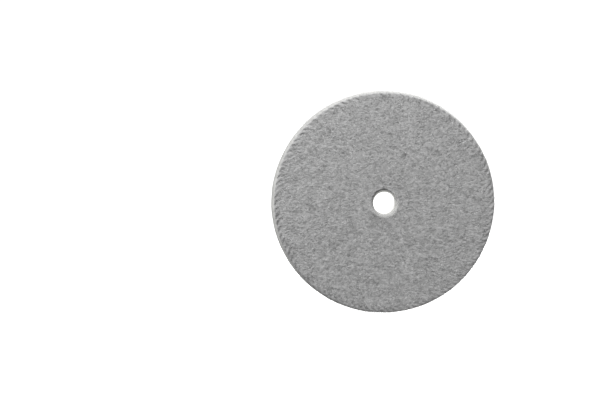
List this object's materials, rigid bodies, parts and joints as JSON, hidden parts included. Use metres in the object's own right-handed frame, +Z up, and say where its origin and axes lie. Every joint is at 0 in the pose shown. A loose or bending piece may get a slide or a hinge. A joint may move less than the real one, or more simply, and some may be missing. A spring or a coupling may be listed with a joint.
{
  "type": "felt polishing wheel",
  "caption": "Flat round felt polishing wheel for lapidary work: thick white felt face, grey loop cloth backing with an overlocked rim, and a plain central hole.",
  "frame": {"origin": "centre of the wheel, on its axis and half way through its thickness", "axes": "+Y along the wheel's axis out of the white working face, -Y out of the grey loop side, +Z up with the wheel on edge"},
  "size_m": [0.128, 0.011, 0.128],
  "materials": {
    "white_wool_felt": "matte needled wool felt",
    "hot_melt_film": "milky melted film",
    "woven_scrim": "plain weave, matte",
    "grey_loop_cloth": "brushed loop nap, matte",
    "grey_sewing_thread": "twisted polyester thread, soft sheen"
  },
  "bodies": {
    "root": {"felt_face": "white_wool_felt", "bonding_film": "hot_melt_film", "scrim_cloth": "woven_scrim", "loop_backing": "grey_loop_cloth", "needle_thread": "grey_sewing_thread", "upper_looper_thread": "grey_sewing_thread", "lower_looper_thread": "grey_sewing_thread"}
  },
  "joints": []
}
